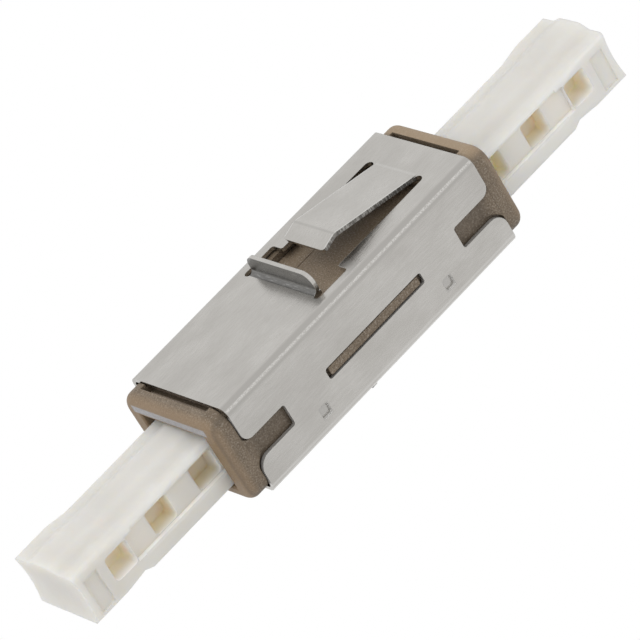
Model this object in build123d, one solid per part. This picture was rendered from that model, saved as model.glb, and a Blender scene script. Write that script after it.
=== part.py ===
from build123d import *
import os

# MU fibre adapter: two dust-capped ports in line, joined by a split sleeve inside a moulded housing,
# with a folded spring-steel shell that clips the adapter into a panel.
# X runs along the plug axis, Y across the port, Z up towards the upper panel spring.
# The origin is on the optical axis, half-way between the two ports. Millimetres.

# Plug cavity: a 6.6 x 4.4 plug slides in it
cavity_width = 6.65
cavity_height = 4.5
mouth_lead_in = 0.1

# Folded steel shell
shell_length = 23.4
shell_width = 10.0
shell_top = 3.76
shell_bottom = -3.44
sheet = 0.3
bend_inner_radius = 0.35
shell_seam = 0.2

# Panel spring and panel stop, on the top and again on the underside
spring_root_x = 9.35
spring_half_width = 2.07
spring_crest_x = 2.3
spring_crest_rise = 1.38
spring_tip_x = 1.06
spring_tip_drop = 0.34
spring_bend_radius = 0.6
spring_tip_radius = 0.28
relief_width = 0.78
stop_x = -1.4
stop_rise = 1.42
stop_half_width = 3.3
stop_corner_radius = 0.8
stop_relief = 0.55
stop_relief_depth = 0.5
opening_step_x = 0.95
opening_corner_radius = 0.2

# Cut-outs in the two side walls of the shell
notch_length = 3.55
notch_top = 0.88
notch_bottom = -0.84
notch_upper_radius = 0.7
notch_lower_radius = 1.0
notch_inner_radius = 0.2
key_slot_length = 9.1
key_slot_height = 0.86
dimple_x = 5.95
dimple_z = -1.8
dimple_length = 0.8
dimple_height = 0.9
dimple_depth = 0.22

# Moulded housing
housing_gap = 0.15
collar_gap = 0.05
collar_inset = 0.15
flange_length = 1.4
flange_corner_radius = 1.3
flange_edge_radius = 0.63
pocket_half_width = 3.4
pocket_depth = 0.6
pocket_lip = 1.0
key_recess = 0.08
key_clearance = 0.12
key_end_gap = 0.3
holder_length = 18.1
holder_width = 6.8
flare_length = 1.3

# Sleeve holder, in two halves that meet in a stepped joint
holder_gap = 0.08
holder_seam = 0.06
holder_seam_offset = 1.45
holder_floor_drop = 0.6
web_half_length = 0.9
barrel_outer_diameter = 2.9
barrel_lip_length = 0.7
barrel_lip_bore = 1.45
arm_thickness = 0.55
arm_half_height = 1.2
arm_end_x = 7.0
hook_length = 1.0
hook_height = 0.5

# Split sleeve for 1.25 mm ferrules
ferrule_diameter = 1.25
sleeve_wall = 0.2
sleeve_length = 6.8
sleeve_slot = 0.3
sleeve_clearance = 0.08
sleeve_end_play = 0.1

# Dust caps
cap_end_x = 25.6
cap_inner_end_x = 8.0
cap_inner_chamfer = 0.2
cap_width = 6.1
shank_top = 1.66
shank_bottom = -2.15
shank_corner_radius = 0.6
waist_bottom = -1.85
grip_top = 1.8
grip_bottom = -2.05
grip_corner_radius = 0.3
cap_bottom_corner_radius = 0.25
rail_end_x = 20.4
rail_taper = 0.65
cap_flare_x = 22.8
land_base_half_width = 1.7
land_top_half_width = 1.0
land_blend_radius = 1.2
land_height = 0.4
rail_top_z = -0.95
channel_top_z = 1.12
channel_depth = 0.4
channel_edge_radius = 0.2
window_size = 1.95
window_depth = 1.4
window_centres = (14.0, 18.05, 22.05)
window_corner_radius = 0.3
label_recess_start_x = 23.75
label_recess_end_x = 24.9
label_recess_top_z = 1.0
label_recess_bottom_z = -1.7
label_recess_depth = 0.15
end_dish_radius = 9.0
end_dish_depth = 0.22

# How near a measured place must be to pick out an edge
tiny = 0.01

half_width = shell_width / 2
half_length = shell_length / 2
bend_outer_radius = bend_inner_radius + sheet
sleeve_inner_diameter = ferrule_diameter
sleeve_outer_diameter = sleeve_inner_diameter + 2 * sleeve_wall
barrel_bore = sleeve_outer_diameter + 2 * sleeve_clearance
collar_start = half_length + collar_gap
housing_half_length = collar_start + flange_length
inner_top = shell_top - sheet
inner_bottom = shell_bottom + sheet
holder_top = inner_top - holder_floor_drop
holder_bottom = inner_bottom + holder_floor_drop


def block(x0, x1, y0, y1, z0, z1):
    """A rectangular solid between two corners."""
    box = Box(x1 - x0, y1 - y0, z1 - z0)
    return Pos((x0 + x1) / 2, (y0 + y1) / 2, (z0 + z1) / 2) * box


def along_x(section, x0, x1):
    """A section drawn in Y and Z, pulled from x0 to x1."""
    return Pos(x0, 0, 0) * extrude(Plane.YZ * section, x1 - x0)


def rounded(width, height, radius, centre_y=0.0, centre_z=0.0):
    """A rounded rectangle for a section."""
    return Pos(centre_y, centre_z) * RectangleRounded(width, height, radius)


def through_y(outline, y0, y1):
    """An outline drawn in X and Z, pulled from y0 to y1."""
    return Pos(0, y1, 0) * extrude(Plane.XZ * outline, y1 - y0)


def mirrored(solid):
    """The matching feature on the opposite face, mirrored about the shell's mid-height plane."""
    middle = shell_top + shell_bottom
    return Pos(0, 0, middle) * mirror(solid, Plane.XY)


def window_outline():
    """The opening in the sheet round the panel spring, drawn from above."""
    wide = stop_half_width + stop_relief
    narrow = spring_half_width + relief_width
    corner = spring_root_x - relief_width / 2
    half = [
        (stop_x + sheet, wide),
        (opening_step_x, wide),
        (opening_step_x, narrow),
        (corner, narrow),
    ]
    other = [(x, -y) for x, y in reversed(half)]
    window = make_face(Polyline(*half, *other, close=True))
    steps = window.vertices().filter_by(lambda v: abs(v.X - opening_step_x) < tiny)
    window = fillet(steps, opening_corner_radius)
    slot_end = Circle(relief_width / 2)
    notch = SlotOverall(2 * stop_relief_depth + stop_relief, stop_relief)
    for side in (-1, 1):
        window += Pos(corner, side * (spring_half_width + relief_width / 2)) * slot_end
        window += Pos(stop_x + sheet, side * (stop_half_width + stop_relief / 2)) * notch
    return window


def spring_strip():
    """The panel spring: it rises from its root to a crest and falls to its tip, one bent strip."""
    middle = shell_top - sheet / 2
    crest = middle + spring_crest_rise
    path = FilletPolyline(
        (spring_root_x + relief_width, middle),
        (spring_root_x, middle),
        (spring_crest_x, crest),
        (spring_tip_x, crest - spring_tip_drop),
        radius=spring_bend_radius,
    )
    strip = through_y(trace(path, sheet), -spring_half_width, spring_half_width)
    tip_corners = strip.edges().filter_by(
        lambda e: abs(abs(e.center().Y) - spring_half_width) < tiny
        and abs(e.center().X - spring_tip_x) < sheet / 2
        and e.length < sheet + tiny
    )
    return fillet(tip_corners, spring_tip_radius)


def stop_tab():
    """The panel stop: a tab folded upright at the other end of the opening."""
    middle = shell_top - sheet / 2
    path = FilletPolyline(
        (stop_x - 2 * sheet, middle),
        (stop_x + sheet / 2, middle),
        (stop_x + sheet / 2, shell_top + stop_rise),
        radius=bend_inner_radius + sheet / 2,
    )
    tab = through_y(trace(path, sheet), -stop_half_width, stop_half_width)
    top_corners = tab.edges().filter_by(
        lambda e: abs(abs(e.center().Y) - stop_half_width) < tiny
        and abs(e.center().Z - shell_top - stop_rise) < tiny
    )
    return fillet(top_corners, stop_corner_radius)


def notch_outline():
    """The +X notch in a side wall, drawn in X and Z: it opens with rounded corners at the sheet's end."""
    inner = half_length - notch_length
    end = half_length + sheet
    upper = half_length - notch_upper_radius
    lower = half_length - notch_lower_radius
    upper_z = notch_top + notch_upper_radius
    lower_z = notch_bottom - notch_lower_radius
    diagonal = 2**-0.5
    upper_middle = (
        upper + diagonal * notch_upper_radius,
        upper_z - diagonal * notch_upper_radius,
    )
    lower_middle = (
        lower + diagonal * notch_lower_radius,
        lower_z + diagonal * notch_lower_radius,
    )
    outline = make_face(
        [
            ThreePointArc((upper, notch_top), upper_middle, (half_length, upper_z)),
            Polyline((half_length, upper_z), (end, upper_z), (end, lower_z), (half_length, lower_z)),
            ThreePointArc((half_length, lower_z), lower_middle, (lower, notch_bottom)),
            Polyline((lower, notch_bottom), (inner, notch_bottom), (inner, notch_top), (upper, notch_top)),
        ]
    )
    inner_corners = outline.vertices().filter_by(lambda v: abs(v.X - inner) < tiny)
    return fillet(inner_corners, notch_inner_radius)


def side_cutters():
    """Cutters for the notches and the key slots in the side walls."""
    reach = 2 * sheet
    notch = notch_outline()
    slot = RectangleRounded(key_slot_length, key_slot_height, notch_inner_radius)
    cutters = []
    for side in (-1, 1):
        y0 = side * half_width - reach
        y1 = side * half_width + reach
        cutters.append(through_y(notch, y0, y1))
        cutters.append(mirror(through_y(notch, y0, y1), Plane.YZ))
        cutters.append(through_y(slot, y0, y1))
    return cutters


def dimples(outer_y, outline):
    """An outline repeated at the four side pads, one sheet thick inwards from a distance outer_y."""
    inner_y = outer_y - sheet
    pads = []
    for side in (-1, 1):
        y0, y1 = sorted((side * inner_y, side * outer_y))
        for port in (-1, 1):
            pads.append(through_y(Pos(port * dimple_x, dimple_z) * outline, y0, y1))
    return pads


def make_shell():
    """The steel shell: one sheet folded into a box round the housing."""
    height = shell_top - shell_bottom
    middle = (shell_top + shell_bottom) / 2
    outer = rounded(shell_width, height, bend_outer_radius, 0, middle)
    inner = rounded(shell_width - 2 * sheet, height - 2 * sheet, bend_inner_radius, 0, middle)
    shell = along_x(outer - inner, -half_length, half_length)
    window = Pos(0, 0, shell_top - 2 * sheet) * extrude(window_outline(), 3 * sheet)
    shell -= window
    shell -= mirrored(window)
    for cutter in side_cutters():
        shell -= cutter
    seam = block(
        -half_length - sheet,
        half_length + sheet,
        half_width - 2 * sheet,
        half_width + sheet,
        -shell_seam / 2,
        shell_seam / 2,
    )
    shell -= seam
    outline = RectangleRounded(dimple_length, dimple_height, notch_inner_radius)
    for pad in dimples(half_width, outline):
        shell -= pad
    for pad in dimples(half_width - dimple_depth, outline):
        shell += pad
    for feature in (spring_strip(), stop_tab()):
        shell += feature
        shell += mirrored(feature)
    return shell


def make_housing():
    """The moulded housing: a tube for two plugs with a collar at each end and a way in for the holder."""
    height = inner_top - inner_bottom - 2 * housing_gap
    middle = (inner_top + inner_bottom) / 2
    width = shell_width - 2 * sheet - 2 * housing_gap
    body_section = rounded(width, height, bend_inner_radius, 0, middle)
    housing = along_x(body_section, -collar_start, collar_start)
    collar_width = shell_width - 2 * collar_inset
    collar_height = shell_top - shell_bottom - 2 * collar_inset
    collar_section = rounded(collar_width, collar_height, flange_corner_radius, 0, middle)
    collar = along_x(collar_section, collar_start, housing_half_length)
    rim = collar.faces().sort_by(Axis.X)[-1].edges()
    collar = fillet(rim, flange_edge_radius)
    flare_start = collar_start - flare_length
    flare_end = collar_start + sheet
    opening = offset(notch_outline(), -housing_gap)
    collar_side = collar_width / 2
    for side in (-1, 1):
        wall = side * width / 2
        root = wall - side * sheet
        flare = make_face(
            [
                Spline((flare_start, wall), (flare_end, side * collar_side), tangents=[(1, 0), (1, 0)]),
                Line((flare_end, side * collar_side), (flare_end, root)),
                Line((flare_end, root), (flare_start, root)),
                Line((flare_start, root), (flare_start, wall)),
            ]
        )
        ramp = Pos(0, 0, shell_bottom) * extrude(flare, shell_top - shell_bottom)
        collar += ramp & through_y(opening, -shell_width, shell_width)
    housing += collar
    housing += mirror(collar, Plane.YZ)

    cavity = Rectangle(cavity_width, cavity_height)
    housing -= along_x(cavity, -housing_half_length, housing_half_length)
    wide_mouth = Rectangle(cavity_width + 2 * mouth_lead_in, cavity_height + 2 * mouth_lead_in)
    lead_in = loft(
        [
            Plane.YZ.offset(housing_half_length - mouth_lead_in) * cavity,
            Plane.YZ.offset(housing_half_length) * wide_mouth,
        ]
    )
    housing -= lead_in
    housing -= mirror(lead_in, Plane.YZ)

    opening_x = holder_length / 2 + holder_gap
    opening_y = holder_width / 2 + holder_gap
    housing -= block(-opening_x, opening_x, -opening_y, opening_y, shell_bottom, shell_top)

    pocket_end = housing_half_length - pocket_lip
    pocket_start = pocket_end - 2 * pocket_lip
    pocket = block(
        pocket_start,
        pocket_end,
        -pocket_half_width,
        pocket_half_width,
        inner_top - pocket_depth,
        shell_top + sheet,
    )
    housing -= pocket
    housing -= mirror(pocket, Plane.YZ)

    recess = Rectangle(dimple_length + 2 * housing_gap, dimple_height + 2 * housing_gap)
    for pad in dimples(half_width - dimple_depth, recess):
        housing -= pad
    rib = RectangleRounded(
        key_slot_length - 2 * key_end_gap,
        key_slot_height - 2 * key_clearance,
        notch_inner_radius / 2,
    )
    for side in (-1, 1):
        inner = side * (cavity_width / 2 + sheet)
        outer = side * (half_width - key_recess)
        housing += through_y(rib, min(inner, outer), max(inner, outer))
    return housing


def whole_holder():
    """The sleeve holder before it is parted: two roofs, a web, a barrel and four latch arms."""
    half_x = holder_length / 2
    half_y = holder_width / 2
    cavity_z = cavity_height / 2
    holder = block(-half_x, half_x, -half_y, half_y, cavity_z, holder_top)
    holder += block(-half_x, half_x, -half_y, half_y, holder_bottom, -cavity_z)
    holder += block(-web_half_length, web_half_length, -half_y, half_y, holder_bottom, holder_top)
    chamber_half = sleeve_length / 2 + sleeve_end_play
    barrel_half = chamber_half + barrel_lip_length
    holder += along_x(Circle(barrel_outer_diameter / 2), -barrel_half, barrel_half)
    arm_outer = cavity_width / 2
    arm_inner = arm_outer - arm_thickness
    for side in (-1, 1):
        arm = make_face(
            Polyline(
                (0, side * arm_outer),
                (arm_end_x, side * arm_outer),
                (arm_end_x, side * arm_inner),
                (arm_end_x - hook_length / 2, side * (arm_inner - hook_height)),
                (arm_end_x - hook_length, side * (arm_inner - hook_height)),
                (arm_end_x - hook_length, side * arm_inner),
                (0, side * arm_inner),
                close=True,
            )
        )
        arm = Pos(0, 0, -arm_half_height) * extrude(arm, 2 * arm_half_height)
        holder += arm
        holder += mirror(arm, Plane.YZ)
    holder -= along_x(Circle(barrel_bore / 2), -chamber_half, chamber_half)
    holder -= along_x(Circle(barrel_lip_bore / 2), -barrel_half, barrel_half)
    return holder


def make_holder_halves():
    """The holder parted lengthwise: through the barrel's axis, and stepped aside in the two roofs."""
    holder = whole_holder()
    reach = holder_length
    step = cavity_height / 2 - sheet
    parting = make_face(
        Polyline(
            (0, -step),
            (0, step),
            (holder_seam_offset, step),
            (holder_seam_offset, reach),
            (reach, reach),
            (reach, -reach),
            (-holder_seam_offset, -reach),
            (-holder_seam_offset, -step),
            close=True,
        )
    )
    near_side = holder - along_x(parting, -reach, reach)
    grown = make_face(
        Polyline(
            (holder_seam, -step - holder_seam),
            (holder_seam, step - holder_seam),
            (holder_seam_offset + holder_seam, step - holder_seam),
            (holder_seam_offset + holder_seam, reach),
            (reach, reach),
            (reach, -reach),
            (-holder_seam_offset + holder_seam, -reach),
            (-holder_seam_offset + holder_seam, -step - holder_seam),
            close=True,
        )
    )
    far_side = holder & along_x(grown, -reach, reach)
    return near_side, far_side


def make_sleeve():
    """The split sleeve: a thin tube with one slot along its whole length."""
    ring = Circle(sleeve_outer_diameter / 2) - Circle(sleeve_inner_diameter / 2)
    tube = along_x(ring, -sleeve_length / 2, sleeve_length / 2)
    slot = block(
        -sleeve_length,
        sleeve_length,
        -sleeve_slot / 2,
        sleeve_slot / 2,
        0,
        sleeve_outer_diameter,
    )
    return tube - slot


def cap_section(top, bottom, upper_corner):
    """The cap's section across its length: a rounded block with a raised land along the top."""
    side = cap_width / 2
    flank = upper_corner * (2 ** 0.5 - 1) / 2 ** 0.5
    low = cap_bottom_corner_radius
    low_flank = low * (2 ** 0.5 - 1) / 2 ** 0.5
    outline = [
        Line((-land_base_half_width, top), (-land_top_half_width, top + land_height)),
        Line((-land_top_half_width, top + land_height), (land_top_half_width, top + land_height)),
        Line((land_top_half_width, top + land_height), (land_base_half_width, top)),
        Line((land_base_half_width, top), (side - upper_corner, top)),
        ThreePointArc(
            (side - upper_corner, top),
            (side - flank, top - flank),
            (side, top - upper_corner),
        ),
        Line((side, top - upper_corner), (side, bottom + low)),
        ThreePointArc(
            (side, bottom + low), (side - low_flank, bottom + low_flank), (side - low, bottom)
        ),
        Line((side - low, bottom), (-side + low, bottom)),
        ThreePointArc(
            (-side + low, bottom), (-side + low_flank, bottom + low_flank), (-side, bottom + low)
        ),
        Line((-side, bottom + low), (-side, top - upper_corner)),
        ThreePointArc(
            (-side, top - upper_corner),
            (-side + flank, top - flank),
            (-side + upper_corner, top),
        ),
        Line((-side + upper_corner, top), (-land_base_half_width, top)),
    ]
    section = make_face(outline)
    land = section.vertices().filter_by(lambda v: abs(v.X) < land_base_half_width + tiny)
    return fillet(land, land_blend_radius)


def make_cap():
    """The +X dust cap: a railed shank that plugs the port, a narrow waist and a flared grip."""
    shank = cap_section(shank_top, shank_bottom, shank_corner_radius)
    waist = cap_section(shank_top, waist_bottom, shank_corner_radius)
    grip = cap_section(grip_top, grip_bottom, grip_corner_radius)
    face = cap_width / 2
    floor = face - channel_depth
    waist_x = rail_end_x + rail_taper
    channels = [
        block(
            cap_inner_end_x - sheet,
            waist_x,
            min(side * floor, side * cap_width),
            max(side * floor, side * cap_width),
            rail_top_z,
            channel_top_z,
        )
        for side in (-1, 1)
    ]
    cap = along_x(shank, cap_inner_end_x, rail_end_x)
    for channel in channels:
        cap -= channel
    rails = cap.edges().filter_by(Axis.X).filter_by(
        lambda e: abs(abs(e.center().Y) - face) < tiny
        and min(abs(e.center().Z - rail_top_z), abs(e.center().Z - channel_top_z)) < tiny
    )
    cap = fillet(rails, channel_edge_radius)
    stations = [
        Plane.YZ.offset(rail_end_x) * shank,
        Plane.YZ.offset(waist_x) * waist,
        Plane.YZ.offset(cap_flare_x) * grip,
        Plane.YZ.offset(cap_end_x) * grip,
    ]
    for first, second in zip(stations, stations[1:]):
        piece = loft([first, second], ruled=True)
        for channel in channels:
            piece -= channel
        cap += piece
    cap = chamfer(cap.faces().sort_by(Axis.X)[0].edges(), cap_inner_chamfer)

    dish = Cylinder(end_dish_radius, 2 * cap_width, rotation=(90, 0, 0))
    cap -= Pos(cap_end_x - end_dish_depth + end_dish_radius, 0, 0) * dish
    for side in (-1, 1):
        pane = RectangleRounded(window_size, window_size, window_corner_radius)
        bottom = floor - window_depth
        for centre in window_centres:
            window = Pos(centre, (rail_top_z + channel_top_z) / 2) * pane
            cap -= through_y(window, min(side * bottom, side * face), max(side * bottom, side * face))
        cap -= block(
            label_recess_start_x,
            label_recess_end_x,
            min(side * (face - label_recess_depth), side * cap_width),
            max(side * (face - label_recess_depth), side * cap_width),
            label_recess_bottom_z,
            label_recess_top_z,
        )
    return cap


shell = make_shell()
housing = make_housing()
holder_near, holder_far = make_holder_halves()
sleeve = make_sleeve()
cap_right = make_cap()
cap_left = cap_right.rotate(Axis.Z, 180)

os.makedirs("parts", exist_ok=True)
nodes = {
    "shell": shell,
    "housing": housing,
    "holder_near": holder_near,
    "holder_far": holder_far,
    "split_sleeve": sleeve,
    "cap_left": cap_left,
    "cap_right": cap_right,
}
for name, solid in nodes.items():
    export_step(solid, "parts/" + name + ".step")
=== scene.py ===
# %% [markdown]
# # MU fibre adapter with its dust caps
#
# The real thing is a small in-line coupler. A folded steel shell clips it into a panel, a
# brown moulded body holds two plug ports in line, and a pale cap closes each port.
# The measured solids are loaded first as a fixed frame, and everything below dresses them.

# %% Load the measured frame
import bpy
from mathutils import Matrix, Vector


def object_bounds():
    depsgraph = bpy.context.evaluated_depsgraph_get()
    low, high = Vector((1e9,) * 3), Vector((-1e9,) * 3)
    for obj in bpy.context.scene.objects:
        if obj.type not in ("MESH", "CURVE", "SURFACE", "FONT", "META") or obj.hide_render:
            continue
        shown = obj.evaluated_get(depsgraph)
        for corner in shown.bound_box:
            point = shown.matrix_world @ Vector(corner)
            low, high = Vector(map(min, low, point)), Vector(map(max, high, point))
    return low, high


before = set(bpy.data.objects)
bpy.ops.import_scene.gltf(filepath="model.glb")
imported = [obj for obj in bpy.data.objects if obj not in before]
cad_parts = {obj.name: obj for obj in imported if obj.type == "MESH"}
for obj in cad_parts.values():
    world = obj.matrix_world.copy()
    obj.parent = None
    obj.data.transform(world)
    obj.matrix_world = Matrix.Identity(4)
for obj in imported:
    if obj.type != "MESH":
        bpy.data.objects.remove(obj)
cad_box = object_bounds()

from types import SimpleNamespace

import bpy
from mathutils import Matrix, Vector

MM = 0.001
print("frame nodes:", sorted(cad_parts))

# %% [markdown]
# ## Camera
#
# The photograph looks down on the adapter from one side with a long lens, so parallel
# edges stay nearly parallel. The right, down and forward directions below come from
# fitting a camera to the shell's edges, and the lens length follows from the same fit.

# %% Camera at the photograph's angle
RIGHT = Vector((0.65263, -0.61396, -0.44399))
DOWN = Vector((-0.67225, -0.19889, -0.71311))
FORWARD = Vector((0.34951, 0.76387, -0.54253))
CAMERA_PLACE_MM = (-114.974, -249.682, 177.146)
FOCAL_PIXELS = 5174.3
FRAME_PIXELS = 640
SENSOR_MM = 36.0
NEAREST_M, FARTHEST_M = 0.01, 10.0

camera_data = bpy.data.cameras.new("photo_camera")
camera_data.sensor_width = SENSOR_MM
camera_data.lens = FOCAL_PIXELS * SENSOR_MM / FRAME_PIXELS
camera_data.clip_start = NEAREST_M
camera_data.clip_end = FARTHEST_M
camera = bpy.data.objects.new("photo_camera", camera_data)
turn = Matrix((RIGHT, -DOWN, -FORWARD)).transposed().to_4x4()
camera.matrix_world = Matrix.Translation(Vector(CAMERA_PLACE_MM) * MM) @ turn
bpy.context.scene.collection.objects.link(camera)
bpy.context.scene.camera = camera
print("lens, mm:", round(camera_data.lens, 1))

# %% [markdown]
# ## Node helpers
#
# Every finish here is built from nodes. These helpers add a node, join sockets and mix
# colours, so that each material reads as a short list of what the real surface shows.

# %% Helpers for materials
def new_material(name):
    """An empty node material with a Principled shader joined to its output."""
    material = bpy.data.materials.new(name)
    material.use_nodes = True
    tree = material.node_tree
    tree.nodes.clear()
    output = tree.nodes.new("ShaderNodeOutputMaterial")
    shader = tree.nodes.new("ShaderNodeBsdfPrincipled")
    tree.links.new(shader.outputs["BSDF"], output.inputs["Surface"])
    return material, tree, shader


def node(tree, kind, **settings):
    """One node, with its properties or its input values set by name."""
    made = tree.nodes.new(kind)
    for key, value in settings.items():
        if hasattr(made, key):
            setattr(made, key, value)
        else:
            made.inputs[key.replace("_", " ")].default_value = value
    return made


def mix_colour(tree, amount, first, second):
    """The mix of two colours or colour sockets. The amount is a number or a socket."""
    mixer = tree.nodes.new("ShaderNodeMix")
    mixer.data_type = "RGBA"
    for socket, value in ((mixer.inputs["Factor"], amount), (mixer.inputs[6], first),
                          (mixer.inputs[7], second)):
        if isinstance(value, bpy.types.NodeSocket):
            tree.links.new(value, socket)
        elif isinstance(value, (int, float)):
            socket.default_value = value
        else:
            socket.default_value = (*value, 1.0)
    return mixer.outputs[2]


def ramp(tree, value, low, high, from_value=0.0, to_value=1.0):
    """A value squeezed so that low gives from_value and high gives to_value."""
    ranged = node(tree, "ShaderNodeMapRange", clamp=True)
    ranged.inputs["From Min"].default_value = low
    ranged.inputs["From Max"].default_value = high
    ranged.inputs["To Min"].default_value = from_value
    ranged.inputs["To Max"].default_value = to_value
    tree.links.new(value, ranged.inputs["Value"])
    return ranged.outputs["Result"]


def math_node(tree, operation, first, second=0.0):
    """One sum on two numbers or sockets."""
    summed = node(tree, "ShaderNodeMath", operation=operation)
    for socket, value in zip(summed.inputs, (first, second)):
        if isinstance(value, bpy.types.NodeSocket):
            tree.links.new(value, socket)
        else:
            socket.default_value = value
    return summed.outputs[0]


def product(tree, *masks):
    """Several masks or shares as one, which is full only where all of them are."""
    result = masks[0]
    for mask in masks[1:]:
        result = math_node(tree, "MULTIPLY", result, mask)
    return result


# %% [markdown]
# ## Surface helpers
#
# Real surfaces have grain and rounded rims. The noise below takes its grain size in
# millimetres on the real object. Its values lie mostly between 0.3 and 0.7, and a ramp
# over a narrower pair gives a firmer contrast. The edges of the solids are nearly sharp,
# and a rounded normal lets them catch the light as real rims do.

# %% Helpers for grain and rims
SOFT_CONTRAST, FIRM_CONTRAST = (0.3, 0.7), (0.35, 0.65)


def noise(tree, scale_mm, stretch=(1.0, 1.0, 1.0), detail=3.0, roughness=0.5):
    """Noise with grains of about scale_mm, drawn out along each axis by stretch."""
    place = node(tree, "ShaderNodeTexCoord")
    mapping = node(tree, "ShaderNodeMapping")
    mapping.inputs["Scale"].default_value = [1.0 / (scale_mm * MM * s) for s in stretch]
    grain = node(tree, "ShaderNodeTexNoise", Scale=1.0, Detail=detail, Roughness=roughness)
    tree.links.new(place.outputs["Object"], mapping.inputs["Vector"])
    tree.links.new(mapping.outputs["Vector"], grain.inputs["Vector"])
    return grain.outputs["Fac"]


def bump(tree, shader, height, distance_mm, strength, edge_round_mm):
    """Lets a height socket tilt the surface, over edges that catch light as if rounded."""
    bumped = node(tree, "ShaderNodeBump", Strength=strength, Distance=distance_mm * MM)
    tree.links.new(height, bumped.inputs["Height"])
    edge = node(tree, "ShaderNodeBevel", samples=6, Radius=edge_round_mm * MM)
    tree.links.new(edge.outputs["Normal"], bumped.inputs["Normal"])
    tree.links.new(bumped.outputs["Normal"], shader.inputs["Normal"])


# %% [markdown]
# ## Places on a piece
#
# Wear, prints and cut edges sit at known places on the real object. A mask finds each one
# from the place on the object, in millimetres, and from the way the surface faces there.
# Below, a pair of numbers named for a place says where a mark begins and where it is full.

# %% Helpers for places
def place_axis(tree, axis):
    """The place on the object along one axis, in millimetres."""
    place = node(tree, "ShaderNodeTexCoord")
    parts = node(tree, "ShaderNodeSeparateXYZ")
    tree.links.new(place.outputs["Object"], parts.inputs["Vector"])
    return math_node(tree, "MULTIPLY", parts.outputs[axis], 1.0 / MM)


def facing(tree, axis):
    """How far the surface faces along one axis, from -1 to 1."""
    place = node(tree, "ShaderNodeTexCoord")
    parts = node(tree, "ShaderNodeSeparateXYZ")
    tree.links.new(place.outputs["Normal"], parts.inputs["Vector"])
    return parts.outputs[axis]


def either_way(tree, value):
    """The size of a value, whatever its sign."""
    return math_node(tree, "ABSOLUTE", value)


def distance_from(tree, value, centre):
    """How far a value is from a centre, to either side."""
    return either_way(tree, math_node(tree, "SUBTRACT", value, centre))


def places(tree, middle_height=0.0):
    """Sockets for where a point of a piece is and which way the surface faces there."""
    along = place_axis(tree, 0)
    height = place_axis(tree, 2)
    return SimpleNamespace(
        along=along, outward=either_way(tree, along),
        sideways=either_way(tree, place_axis(tree, 1)),
        height=height, proud=distance_from(tree, height, middle_height),
        faces_along=facing(tree, 0), faces_up=facing(tree, 2),
        faces_side=either_way(tree, facing(tree, 1)))


# %% [markdown]
# ## Spring steel
#
# The shell is thin stainless sheet, cut and folded. Working the sheet leaves marks, and the
# cells below add them one by one, with painted light and shade. How proud a mark sits is
# measured from the shell's middle height, so that the top and the underside get the same
# marks. The first is on the stop tab, whose outer face has fine scratches across it and is
# painted dark as shade, with painted light where the tab stands fully upright.

# %% Stop tab
TAB_FRONT, TAB_BACK, TAB_FOOT = (-1.02, -1.2), (-3.0, -2.9), (3.55, 3.59)
TAB_OUTER_FACE, TAB_UPRIGHT, TAB_UPRIGHT_SHARE = (-0.01, -0.07), (-0.8, -0.97), 0.16
SCRATCH_MM, SCRATCH_STRETCH, SCRATCH_CONTRAST = 0.05, (1.0, 14.0, 1.0), (0.55, 0.7)
# Painted shade on the tab's outer face, under real scratches, and painted light where it stands
# upright.
TAB_SHADE_SCRATCH_DARK, TAB_SHADE_SCRATCH_LIGHT = (0.165, 0.162, 0.156), (0.30, 0.296, 0.288)
TAB_UPRIGHT_PAINTED_LIGHT = (0.60, 0.59, 0.57)


def shade_and_scratch_stop_tab(tree, at, base):
    """The shell's colour with the stop tab's outer face scratched and painted dark as shade."""
    tab_face = product(tree, ramp(tree, at.along, *TAB_FRONT), ramp(tree, at.along, *TAB_BACK),
                       ramp(tree, at.proud, *TAB_FOOT),
                       ramp(tree, at.faces_along, *TAB_OUTER_FACE))
    scratch = noise(tree, SCRATCH_MM, SCRATCH_STRETCH, detail=2.0)
    shaded_tab = mix_colour(tree, ramp(tree, scratch, *SCRATCH_CONTRAST), TAB_SHADE_SCRATCH_DARK, TAB_SHADE_SCRATCH_LIGHT)
    upright = ramp(tree, at.faces_along, *TAB_UPRIGHT, 0.0, TAB_UPRIGHT_SHARE)
    shaded_tab = mix_colour(tree, upright, shaded_tab, TAB_UPRIGHT_PAINTED_LIGHT)
    return mix_colour(tree, tab_face, base, shaded_tab)


# %% [markdown]
# A shear cuts the sheet and leaves a rough edge with streaks through its thickness. The
# long edge of the panel spring shows them, made by a noise drawn out upwards. The cut
# edges in the side walls are an even dull grey.

# %% Sheared edges
SPRING_SIDE, SPRING_SIDE_END, SIDE_FACE = (2.02, 2.05), (2.12, 2.09), (0.5, 0.8)
WALL_START, BELOW_FOLD, NOT_SIDE_FACE = (4.57, 4.61), (2.9, 2.8), (0.5, 0.3)
STREAK_MM, STREAK_STRETCH, STREAK_CONTRAST = 0.07, (1.0, 1.0, 8.0), (0.45, 0.62)
STREAK_DARK, STREAK_LIGHT = (0.18, 0.172, 0.16), (0.50, 0.49, 0.47)


def spring_edge_mask(tree, at):
    """The sheared long edges of the panel springs."""
    return product(tree, ramp(tree, at.sideways, *SPRING_SIDE),
                   ramp(tree, at.sideways, *SPRING_SIDE_END),
                   ramp(tree, at.faces_side, *SIDE_FACE))


def wall_edge_mask(tree, at):
    """The cut edges in the side walls, round their notches, slots and pads."""
    return product(tree, ramp(tree, at.sideways, *WALL_START),
                   ramp(tree, at.proud, *BELOW_FOLD), ramp(tree, at.faces_side, *NOT_SIDE_FACE))


def streak_spring_edge(tree, base, spring_edge):
    """The shell's colour with streaks on the springs' sheared edges."""
    streak = noise(tree, STREAK_MM, STREAK_STRETCH, detail=2.0)
    sheared = mix_colour(tree, ramp(tree, streak, *STREAK_CONTRAST), STREAK_DARK, STREAK_LIGHT)
    return mix_colour(tree, spring_edge, base, sheared)
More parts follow.
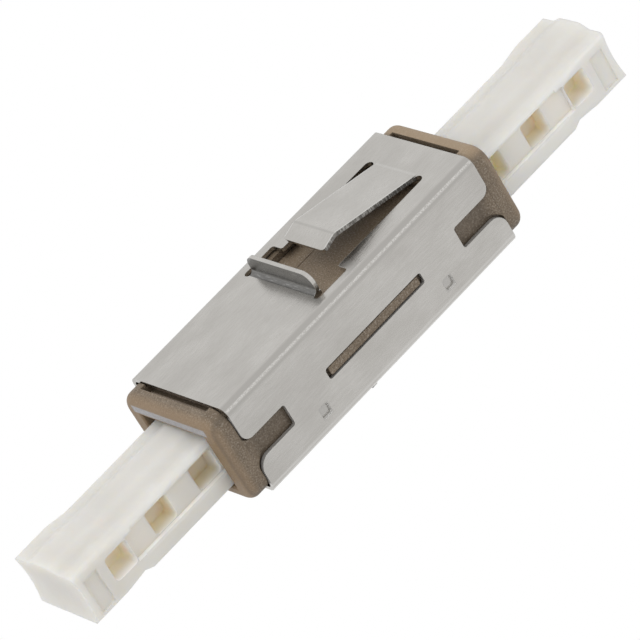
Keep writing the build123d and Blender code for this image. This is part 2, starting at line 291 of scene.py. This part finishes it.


# %% [markdown]
# The panel spring is bent at its root and again at its crest. Each bend gets a faint line
# across it, a painted highlight at the root and painted shade at the crest, and the
# spring's rim gets a thin painted highlight.

# %% Lines on the spring
ABOVE_SHEET, PAST_TAB = (3.66, 3.80), (0.8, 0.9)
RIM_START, RIM_END, RIM_TURN = (1.96, 2.02), (2.12, 2.09), (0.5, 0.2)
# Painted highlights on the spring's rim and root, painted shade at its crest.
RIM_PAINTED_HIGHLIGHT = (0.62, 0.61, 0.59)
CREST_ALONG, CREST_HALF, CREST_SHARE, CREST_PAINTED_SHADE = 2.3, (0.14, 0.04), 0.5, (0.38, 0.37, 0.35)
ROOT_ALONG, ROOT_HALF, ROOT_SHARE, ROOT_PAINTED_HIGHLIGHT = 9.3, (0.16, 0.04), 0.25, (0.63, 0.62, 0.60)
ROOT_SIDE, ROOT_ABOVE = (2.15, 2.0), (3.5, 3.55)


def line_spring(tree, at, base):
    """The shell's colour with painted highlights at the spring's rim and root and painted shade
    at its crest.
    """
    raised = product(tree, ramp(tree, at.proud, *ABOVE_SHEET), ramp(tree, at.along, *PAST_TAB))
    rim = product(tree, ramp(tree, at.sideways, *RIM_START), ramp(tree, at.sideways, *RIM_END),
                  ramp(tree, at.faces_side, *RIM_TURN), raised)
    base = mix_colour(tree, rim, base, RIM_PAINTED_HIGHLIGHT)
    from_crest = distance_from(tree, at.along, CREST_ALONG)
    crest = product(tree, ramp(tree, from_crest, *CREST_HALF), raised, CREST_SHARE)
    base = mix_colour(tree, crest, base, CREST_PAINTED_SHADE)
    from_root = distance_from(tree, at.along, ROOT_ALONG)
    root = product(tree, ramp(tree, from_root, *ROOT_HALF), ramp(tree, at.sideways, *ROOT_SIDE),
                   ramp(tree, at.proud, *ROOT_ABOVE), ROOT_SHARE)
    return mix_colour(tree, root, base, ROOT_PAINTED_HIGHLIGHT)


# %% [markdown]
# Four small pads are pressed into the side walls. They look shallower in the photograph
# than in the solids, so their walls get painted light and a less mirror-like finish that makes
# them look softer, palest on the upward-facing sill. Their floors get painted shade, a little
# darker than the wall round them.

# %% Side pads
PAD_OUTWARD, PAD_LENGTH, PAD_HEIGHT, PAD_RISE = 5.95, (0.47, 0.43), -1.8, (0.52, 0.48)
PAD_WALL_START, SILL_FACE = (4.5, 4.55), (0.3, 0.8)
# Painted shade on the pad floors, painted light on their walls and sills.
PAD_FLOOR_SHARE, PAD_FLOOR_PAINTED_SHADE = 0.5, (0.40, 0.39, 0.375)
PAD_WALL_PAINTED_LIGHT, PAD_WALL_MATT = (0.70, 0.69, 0.67), 0.3
PAD_SILL_PAINTED_LIGHT, PAD_SILL_MATT = (0.76, 0.75, 0.73), 0.12


def paint_pad_light_and_shade(tree, at, base, metallic, wall_edge):
    """The shell's colour and metallic value, with painted light on the side pads' walls and sills
    and painted shade on their floors.
    """
    pad = product(tree, ramp(tree, distance_from(tree, at.outward, PAD_OUTWARD), *PAD_LENGTH),
                  ramp(tree, distance_from(tree, at.height, PAD_HEIGHT), *PAD_RISE),
                  ramp(tree, at.sideways, *PAD_WALL_START))
    base = mix_colour(tree, product(tree, pad, PAD_FLOOR_SHARE), base, PAD_FLOOR_PAINTED_SHADE)
    pad_wall = product(tree, pad, wall_edge)
    base = mix_colour(tree, pad_wall, base, PAD_WALL_PAINTED_LIGHT)
    pad_sill = product(tree, pad_wall, ramp(tree, at.faces_up, *SILL_FACE))
    base = mix_colour(tree, pad_sill, base, PAD_SILL_PAINTED_LIGHT)
    for mask, matt in ((pad_wall, PAD_WALL_MATT), (pad_sill, PAD_SILL_MATT)):
        metallic = math_node(tree, "SUBTRACT", metallic, product(tree, mask, matt))
    return base, metallic


# %% [markdown]
# The long upper folds get painted shade, with a broken painted highlight along the ridge
# where the small lamp's glint falls, broken into specks by a coarse noise. A faint painted
# highlight runs along the lower folds.

# %% Folds
FOLD_SIDE, FOLD_RISE, UPPER_HALF = (4.36, 4.56), (2.92, 3.12), (-0.2, 0.2)
# Painted shade on the upper folds, painted highlights along the ridge and the lower folds.
FOLD_PAINTED_SHADE = (0.41, 0.397, 0.375)
LOWER_FOLD_HEIGHT, LOWER_FOLD_HALF, LOWER_FOLD_SIDE = -2.85, (0.14, 0.03), (4.3, 4.5)
LOWER_FOLD_SHARE, LOWER_FOLD_PAINTED_HIGHLIGHT = 0.4, (0.66, 0.65, 0.63)
RIDGE_START, RIDGE_END, RIDGE_PAINTED_HIGHLIGHT = (0.68, 0.76), (0.92, 0.84), (0.60, 0.585, 0.56)
GLINT_SPECK_MM, GLINT_SPECK_STRETCH, GLINT_SPECK_CONTRAST = 0.06, (1.4, 1.0, 1.0), (0.40, 0.60)
FAINTEST_GLINT_SPECK = 0.25


def fold_mask(tree, at):
    """The long rounded folds between the top, the walls and the underside."""
    return product(tree, ramp(tree, at.sideways, *FOLD_SIDE), ramp(tree, at.proud, *FOLD_RISE))


def paint_fold_light_and_shade(tree, at, base, folded):
    """The shell's colour with painted shade on its folds and painted highlights along them."""
    upper_fold = product(tree, folded, ramp(tree, at.height, *UPPER_HALF))
    base = mix_colour(tree, upper_fold, base, FOLD_PAINTED_SHADE)
    from_lower_fold = distance_from(tree, at.height, LOWER_FOLD_HEIGHT)
    lower_fold = product(tree, ramp(tree, from_lower_fold, *LOWER_FOLD_HALF),
                         ramp(tree, at.sideways, *LOWER_FOLD_SIDE), LOWER_FOLD_SHARE)
    base = mix_colour(tree, lower_fold, base, LOWER_FOLD_PAINTED_HIGHLIGHT)
    ridge = product(tree, ramp(tree, at.faces_side, *RIDGE_START),
                    ramp(tree, at.faces_side, *RIDGE_END), folded)
    glint_speck = noise(tree, GLINT_SPECK_MM, GLINT_SPECK_STRETCH, detail=1.0)
    glint_speck = ramp(tree, glint_speck, *GLINT_SPECK_CONTRAST, FAINTEST_GLINT_SPECK, 1.0)
    return mix_colour(tree, product(tree, ridge, glint_speck), base, RIDGE_PAINTED_HIGHLIGHT)


# %% [markdown]
# Rolling leaves faint grain along the sheet, made by a stretched noise, and a slow noise
# varies tone and roughness so that wide faces are not uniform. The marks and the painted
# light and shade above go on top. The cut edges are less metallic, because a torn surface
# scatters light.

# %% Spring steel finish
SHELL_MIDDLE_HEIGHT = 0.16
CLOUD_MM, CLOUD_STRETCH = 2.2, (1.6, 1.0, 1.0)
GRAIN_MM, GRAIN_STRETCH = 0.09, (9.0, 1.0, 1.0)
SPECK_MM = 0.06
STEEL_DULL, STEEL_BRIGHT = (0.47, 0.455, 0.43), (0.54, 0.525, 0.50)
GRAIN_DARK, GRAIN_SHARE = (0.40, 0.385, 0.36), 0.35
WALL_EDGE_GREY, CUT_EDGE_METALLIC = (0.42, 0.41, 0.395), 0.6
STEEL_SMOOTH, STEEL_ROUGH = 0.20, 0.30
WALL_EDGE_ROUGHER, FOLD_SMOOTHER = 0.25, 0.11
SPARKLE, FOLD_SPARKLE = 0.6, 0.9


def spring_steel():
    """Thin rolled stainless sheet with the marks of cutting and folding, and painted light and
    shade.
    """
    material, tree, shader = new_material("spring_steel")
    at = places(tree, SHELL_MIDDLE_HEIGHT)
    cloud = noise(tree, CLOUD_MM, CLOUD_STRETCH, detail=4.0)
    grain = noise(tree, GRAIN_MM, GRAIN_STRETCH, detail=2.0)
    speck = noise(tree, SPECK_MM, detail=2.0)
    spring_edge = spring_edge_mask(tree, at)
    wall_edge = wall_edge_mask(tree, at)
    folded = fold_mask(tree, at)

    base = mix_colour(tree, ramp(tree, cloud, *FIRM_CONTRAST), STEEL_DULL, STEEL_BRIGHT)
    grain_mark = ramp(tree, grain, *SOFT_CONTRAST, 0.0, GRAIN_SHARE)
    base = mix_colour(tree, grain_mark, base, GRAIN_DARK)
    base = shade_and_scratch_stop_tab(tree, at, base)
    base = streak_spring_edge(tree, base, spring_edge)
    base = line_spring(tree, at, base)
    base = mix_colour(tree, wall_edge, base, WALL_EDGE_GREY)
    cut_edge = math_node(tree, "MAXIMUM", wall_edge, spring_edge)
    metallic = ramp(tree, cut_edge, 0.0, 1.0, 1.0, CUT_EDGE_METALLIC)
    base, metallic = paint_pad_light_and_shade(tree, at, base, metallic, wall_edge)
    base = paint_fold_light_and_shade(tree, at, base, folded)
    tree.links.new(metallic, shader.inputs["Metallic"])
    tree.links.new(base, shader.inputs["Base Color"])

    rough = ramp(tree, cloud, *SOFT_CONTRAST, STEEL_SMOOTH, STEEL_ROUGH)
    rough = math_node(tree, "ADD", rough, product(tree, wall_edge, WALL_EDGE_ROUGHER))
    rough = math_node(tree, "SUBTRACT", rough, product(tree, folded, FOLD_SMOOTHER))
    tree.links.new(rough, shader.inputs["Roughness"])
    sparkle = math_node(tree, "ADD", product(tree, folded, FOLD_SPARKLE), SPARKLE)
    height = math_node(tree, "ADD", grain, product(tree, speck, sparkle))
    bump(tree, shader, height, distance_mm=0.012, strength=0.5, edge_round_mm=0.06)
    return material


# %% [markdown]
# ## Brown moulding
#
# The body and the sleeve holder are a filled plastic, grey-brown and matt. The filler shows
# as a fine speckle, lighter and darker than the plastic, and a slow noise changes the tone
# from place to place.

# %% Speckle of the filled plastic
TONE_MM = 1.7
MOULDED_DARK, MOULDED_LIGHT = (0.172, 0.128, 0.084), (0.209, 0.158, 0.106)
PALE_SPECKS, FILLER_LIGHT = (0.53, 0.68), (0.35, 0.30, 0.245)
DARK_SPECKS, FILLER_DARK = (0.47, 0.33), (0.11, 0.083, 0.06)


def speckled_brown(tree, tone_of, speckle):
    """The plastic's own colour with its filler showing."""
    tone = noise(tree, TONE_MM, detail=2.0)
    base = mix_colour(tree, ramp(tree, tone, *FIRM_CONTRAST), tone_of(MOULDED_DARK),
                      tone_of(MOULDED_LIGHT))
    base = mix_colour(tree, ramp(tree, speckle, *PALE_SPECKS), base, tone_of(FILLER_LIGHT))
    return mix_colour(tree, ramp(tree, speckle, *DARK_SPECKS), base, tone_of(FILLER_DARK))


# %% [markdown]
# The body is warmer in tone at its ends. Its sides get painted shade just under the sheet,
# and the right collar's top and the floors of the collar pockets get painted light.

# %% Warmer ends, painted shade and painted light
END_FACE, END_FACE_SHARE, END_FACE_WARM = (12.45, 13.1), 0.75, (0.325, 0.225, 0.135)
# Painted shade on the sides just under the sheet; painted light on the right collar's top and the
# pocket floors.
UNDER_EDGE, UNDER_EDGE_END, UNDER_EDGE_SHARE = (4.76, 4.57), (4.3, 4.5), 0.35
UNDER_EDGE_PAINTED_SHADE = (0.07, 0.058, 0.045)
UPWARD_FACE = (0.5, 0.9)
COLLAR_TOP, COLLAR_TOP_SHARE, COLLAR_TOP_PAINTED_LIGHT = (11.7, 12.1), 0.6, (0.46, 0.34, 0.22)
POCKET_START, POCKET_END = (11.6, 11.65), (12.78, 12.7)
POCKET_BELOW, POCKET_SIDE = (3.3, 3.2), (3.45, 3.4)
POCKET_SHARE, POCKET_PAINTED_LIGHT = 0.8, (0.62, 0.50, 0.40)


def shade_moulding(tree, at, tone_of, base):
    """The plastic's colour, warmer at the ends, with painted shade and painted light."""
    end_face = product(tree, ramp(tree, at.outward, *END_FACE), END_FACE_SHARE)
    base = mix_colour(tree, end_face, base, tone_of(END_FACE_WARM))
    under_edge = product(tree, ramp(tree, at.sideways, *UNDER_EDGE),
                         ramp(tree, at.sideways, *UNDER_EDGE_END), UNDER_EDGE_SHARE)
    base = mix_colour(tree, under_edge, base, tone_of(UNDER_EDGE_PAINTED_SHADE))
    upward = ramp(tree, at.faces_up, *UPWARD_FACE)
    collar_top = product(tree, upward, ramp(tree, at.along, *COLLAR_TOP), COLLAR_TOP_SHARE)
    base = mix_colour(tree, collar_top, base, tone_of(COLLAR_TOP_PAINTED_LIGHT))
    in_pocket = product(tree, ramp(tree, at.outward, *POCKET_START),
                        ramp(tree, at.outward, *POCKET_END), ramp(tree, at.height, *POCKET_BELOW),
                        ramp(tree, at.sideways, *POCKET_SIDE), upward, POCKET_SHARE)
    return mix_colour(tree, in_pocket, base, tone_of(POCKET_PAINTED_LIGHT))


# %% [markdown]
# A lavender-grey stripe runs above each port. It is flat on the real part, so it is a
# colour here and has no thickness. A small bump breaks the highlights along the rims.

# %% Brown moulding finish
STRIPE_BOTTOM, STRIPE_TOP = (2.40, 2.46), (3.02, 2.94)
STRIPE_SIDE, STRIPE_FACE = (3.85, 3.75), (12.98, 13.02)
STRIPE_DARK, STRIPE_LIGHT = (0.30, 0.292, 0.30), (0.43, 0.42, 0.43)
SPECKLE_MM, PLASTIC_ROUGH, SPECK_ROUGH = 0.11, 0.62, 0.5


def brown_moulding(name, lift):
    """The filled brown plastic. The lift scales its tone; the holder's higher lift is painted
    light.
    """
    def tone_of(colour):
        return [channel * lift for channel in colour]

    material, tree, shader = new_material(name)
    at = places(tree)
    speckle = noise(tree, SPECKLE_MM, detail=3.0, roughness=0.7)
    base = speckled_brown(tree, tone_of, speckle)
    base = shade_moulding(tree, at, tone_of, base)
    stripe = product(tree, ramp(tree, at.height, *STRIPE_BOTTOM),
                     ramp(tree, at.height, *STRIPE_TOP), ramp(tree, at.sideways, *STRIPE_SIDE),
                     ramp(tree, at.outward, *STRIPE_FACE))
    printed = mix_colour(tree, ramp(tree, speckle, *FIRM_CONTRAST), STRIPE_DARK, STRIPE_LIGHT)
    base = mix_colour(tree, stripe, base, printed)
    tree.links.new(base, shader.inputs["Base Color"])
    rough = ramp(tree, speckle, *SOFT_CONTRAST, PLASTIC_ROUGH, SPECK_ROUGH)
    tree.links.new(rough, shader.inputs["Roughness"])
    bump(tree, shader, speckle, distance_mm=0.02, strength=0.5, edge_round_mm=0.1)
    return material


# %% [markdown]
# ## Pale cap plastic
#
# The caps are a soft, slightly see-through moulded plastic, and light goes a little way in.
# The small windows in their sides get painted light: a warm glow inside, paler in each
# cap's last window and in the right cap's first, and walls that fade into the cap near the
# rim. A tint that depends on the depth in the window paints this, and subsurface light does
# the rest.

# %% Painted light in the cap windows
WINDOW_DEPTH, WINDOW_HEIGHT, WINDOWS_END = (2.78, 1.7), (1.3, 1.15), (23.6, 23.4)
# Painted light: the warm glow in the windows and the pale walls near the rim.
WINDOW_PAINTED_LIGHT = (0.85, 0.785, 0.645)
FIRST_WINDOW, FIRST_WINDOW_PAINTED_LIGHT = (15.6, 15.2), (0.92, 0.87, 0.75)
LAST_WINDOW, LAST_WINDOW_PAINTED_LIGHT = (18.6, 19.6), (1.0, 0.885, 0.77)
WALL_HEIGHT, WALL_FACE, NEAR_RIM = (1.06, 1.0), (0.6, 0.3), (2.0, 2.8)
WINDOW_WALL_PAINTED_LIGHT = (0.94, 0.915, 0.865)


def paint_window_light(tree, at, base, on_right_cap):
    """The cap's colour with painted light in its windows, warm inside and pale near the rim."""
    before_end = ramp(tree, at.outward, *WINDOWS_END)
    deep = product(tree, ramp(tree, at.sideways, *WINDOW_DEPTH),
                   ramp(tree, at.proud, *WINDOW_HEIGHT), before_end)
    base = mix_colour(tree, deep, base, WINDOW_PAINTED_LIGHT)
    first_window = product(tree, deep, ramp(tree, at.outward, *FIRST_WINDOW), on_right_cap)
    base = mix_colour(tree, first_window, base, FIRST_WINDOW_PAINTED_LIGHT)
    last_window = product(tree, deep, ramp(tree, at.outward, *LAST_WINDOW))
    base = mix_colour(tree, last_window, base, LAST_WINDOW_PAINTED_LIGHT)
    lit_window_wall = product(tree, ramp(tree, at.proud, *WALL_HEIGHT), before_end,
                         ramp(tree, at.faces_side, *WALL_FACE),
                         ramp(tree, at.sideways, *NEAR_RIM))
    return mix_colour(tree, lit_window_wall, base, WINDOW_WALL_PAINTED_LIGHT)


# %% [markdown]
# The two caps are separate mouldings of the same plastic. The right one's sides are a shade
# paler in the photograph where more light falls on them, so they get painted light before
# the windows are tinted.

# %% Pale cap finish
CAP_CLOUD_MM, CAP_GRAIN_MM = 3.0, 0.15
CAP_SMOOTH, CAP_ROUGH = 0.42, 0.52
CAP_DULL, CAP_BRIGHT = (0.655, 0.64, 0.605), (0.70, 0.688, 0.658)
# Painted light on the right cap's sides.
RIGHT_CAP, CAP_SIDE_FACE, RIGHT_SIDE_PAINTED_LIGHT = (-1.0, 1.0), (0.5, 0.9), (0.755, 0.745, 0.715)
LIGHT_GOES_IN, LIGHT_REACH, REACH_SCALE_M = 0.8, (1.0, 0.85, 0.6), 0.0024


def pale_cap():
    """Soft pale plastic that lets a little light through."""
    material, tree, shader = new_material("pale_cap")
    at = places(tree)
    cloud = noise(tree, CAP_CLOUD_MM, detail=3.0)
    fine = noise(tree, CAP_GRAIN_MM, detail=3.0)
    base = mix_colour(tree, ramp(tree, cloud, *SOFT_CONTRAST), CAP_DULL, CAP_BRIGHT)
    on_right_cap = ramp(tree, at.along, *RIGHT_CAP)
    right_side_lit = product(tree, ramp(tree, at.faces_side, *CAP_SIDE_FACE), on_right_cap)
    base = mix_colour(tree, right_side_lit, base, RIGHT_SIDE_PAINTED_LIGHT)
    base = paint_window_light(tree, at, base, on_right_cap)
    tree.links.new(base, shader.inputs["Base Color"])
    shader.inputs["Subsurface Weight"].default_value = LIGHT_GOES_IN
    shader.inputs["Subsurface Radius"].default_value = LIGHT_REACH
    shader.inputs["Subsurface Scale"].default_value = REACH_SCALE_M
    rough = ramp(tree, fine, *SOFT_CONTRAST, CAP_SMOOTH, CAP_ROUGH)
    tree.links.new(rough, shader.inputs["Roughness"])
    bump(tree, shader, fine, distance_mm=0.01, strength=0.35, edge_round_mm=0.2)
    return material


# %% [markdown]
# ## Sleeve ceramic
#
# The split sleeve is ground white ceramic. It sits inside the holder, so it only needs a
# smooth, bright finish with a faint change of tone.

# %% Sleeve ceramic finish
CERAMIC_CLOUD_MM, CERAMIC_ROUGHNESS = 0.8, 0.15
CERAMIC_DULL, CERAMIC_BRIGHT = (0.74, 0.73, 0.70), (0.80, 0.79, 0.76)


def sleeve_ceramic():
    """Smooth ground white ceramic."""
    material, tree, shader = new_material("sleeve_ceramic")
    cloud = noise(tree, CERAMIC_CLOUD_MM, detail=2.0)
    tree.links.new(mix_colour(tree, cloud, CERAMIC_DULL, CERAMIC_BRIGHT),
                   shader.inputs["Base Color"])
    shader.inputs["Roughness"].default_value = CERAMIC_ROUGHNESS
    return material


# %% [markdown]
# ## Finish the measured solids
#
# The measured solids have the right shapes, so they keep them and take the finishes. The
# two halves of the sleeve holder show through the opening in the shell, and the sleeve
# lies hidden inside them. The holder is the same plastic as the body, given a lighter tone
# as painted light where it lies in the shell's shade.

# %% Finish the solids
FINISHES = {
    "spring_steel": spring_steel(),
    "housing_tan": brown_moulding("brown_moulding", lift=0.87),
    # The holder's higher lift is painted light on a part in the shell's shade.
    "holder_tan": brown_moulding("holder_moulding_painted_light", lift=1.2),
    "cap_white": pale_cap(),
    "sleeve_ceramic": sleeve_ceramic(),
}
NODE_FINISHES = {
    "shell": "spring_steel",
    "housing": "housing_tan",
    "holder_near": "holder_tan",
    "holder_far": "holder_tan",
    "split_sleeve": "sleeve_ceramic",
    "cap_left": "cap_white",
    "cap_right": "cap_white",
}

for name, finish in NODE_FINISHES.items():
    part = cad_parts[name]
    part.data.materials.clear()
    part.data.materials.append(FINISHES[finish])
print("finished:", NODE_FINISHES)

# %% [markdown]
# ## Floor and backdrop
#
# The photograph is a product shot on pure white. A wide pale floor takes a soft shadow,
# and shows as plain white to the camera and in reflections.

# %% Floor
FLOOR_REACH_M = 1.5
FLOOR_GREY = (0.85, 0.85, 0.85, 1.0)
WHITE = (1.0, 1.0, 1.0, 1.0)


def seen_or_mirrored(tree):
    """Full for the rays that show a surface to the camera, a mirror or clear plastic."""
    path = tree.nodes.new("ShaderNodeLightPath")
    seen = math_node(tree, "MAXIMUM", path.outputs["Is Camera Ray"],
                     path.outputs["Is Glossy Ray"])
    return math_node(tree, "MAXIMUM", seen, path.outputs["Is Transmission Ray"])


def mix_shaders(tree, amount, first, second, target):
    """Joins the mix of two shader nodes to a target socket."""
    mixed = tree.nodes.new("ShaderNodeMixShader")
    for source, socket in zip((amount, first.outputs[0], second.outputs[0]), mixed.inputs):
        tree.links.new(source, socket)
    tree.links.new(mixed.outputs[0], target)


def white_stage():
    """Pale paper that shows as pure white."""
    material = bpy.data.materials.new("white_stage")
    material.use_nodes = True
    tree = material.node_tree
    tree.nodes.clear()
    output = tree.nodes.new("ShaderNodeOutputMaterial")
    paper = node(tree, "ShaderNodeBsdfDiffuse", Color=FLOOR_GREY)
    glow = node(tree, "ShaderNodeEmission", Color=WHITE, Strength=1.0)
    mix_shaders(tree, seen_or_mirrored(tree), paper, glow, output.inputs["Surface"])
    return material


floor_height = cad_box[0][2]
corners = [(-FLOOR_REACH_M, -FLOOR_REACH_M), (FLOOR_REACH_M, -FLOOR_REACH_M),
           (FLOOR_REACH_M, FLOOR_REACH_M), (-FLOOR_REACH_M, FLOOR_REACH_M)]
floor_mesh = bpy.data.meshes.new("floor")
floor_mesh.from_pydata([(x, y, floor_height) for x, y in corners], [], [(0, 1, 2, 3)])
floor_mesh.materials.append(white_stage())
floor = bpy.data.objects.new("floor", floor_mesh)
bpy.context.scene.collection.objects.link(floor)
print("floor height, mm:", round(floor_height / MM, 2))

# %% [markdown]
# ## World and lamps
#
# The world is white to the camera and in the steel, and a weaker fill elsewhere. Large soft
# lamps light the object at a plain level from above, from the right and from the camera's
# left. The steel doesn't mirror those, and one small lamp that it does mirror gives the thin
# bright line along the near fold.

# %% World
WORLD_FILL = 0.6

world = bpy.data.worlds.new("studio")
world.use_nodes = True
bpy.context.scene.world = world
world_tree = world.node_tree
world_tree.nodes.clear()
world_output = world_tree.nodes.new("ShaderNodeOutputWorld")
fill_light = node(world_tree, "ShaderNodeBackground", Color=WHITE, Strength=WORLD_FILL)
seen_light = node(world_tree, "ShaderNodeBackground", Color=WHITE, Strength=1.0)
mix_shaders(world_tree, seen_or_mirrored(world_tree), fill_light, seen_light,
            world_output.inputs["Surface"])

# %% Lamps
def soft_lamp(name, place_mm, width_mm, watts, mirrored):
    """A square soft lamp aimed at the adapter. The steel mirrors it, or only takes its light."""
    data = bpy.data.lights.new(name, "AREA")
    data.energy = watts
    data.size = width_mm * MM
    lamp = bpy.data.objects.new(name, data)
    lamp.location = Vector(place_mm) * MM
    lamp.visible_glossy = mirrored
    lamp.rotation_euler = (-lamp.location).to_track_quat("-Z", "Y").to_euler()
    bpy.context.scene.collection.objects.link(lamp)


FRONT_RIGHT_MM = (260, -520, 400)
soft_lamp("overhead", (-150, 40, 600), width_mm=900, watts=2.1, mirrored=False)
soft_lamp("front_right", FRONT_RIGHT_MM, width_mm=260, watts=0.40, mirrored=False)
soft_lamp("camera_left", (-500, -260, 300), width_mm=260, watts=0.5, mirrored=False)
soft_lamp("bend_glint", FRONT_RIGHT_MM, width_mm=100, watts=0.17, mirrored=True)

bpy.context.scene.view_settings.view_transform = "Standard"
print("lamps:", sorted(lamp.name for lamp in bpy.data.lights))

# %% Print the frame's box
print("cad box:", [[round(v, 5) for v in corner] for corner in cad_box])
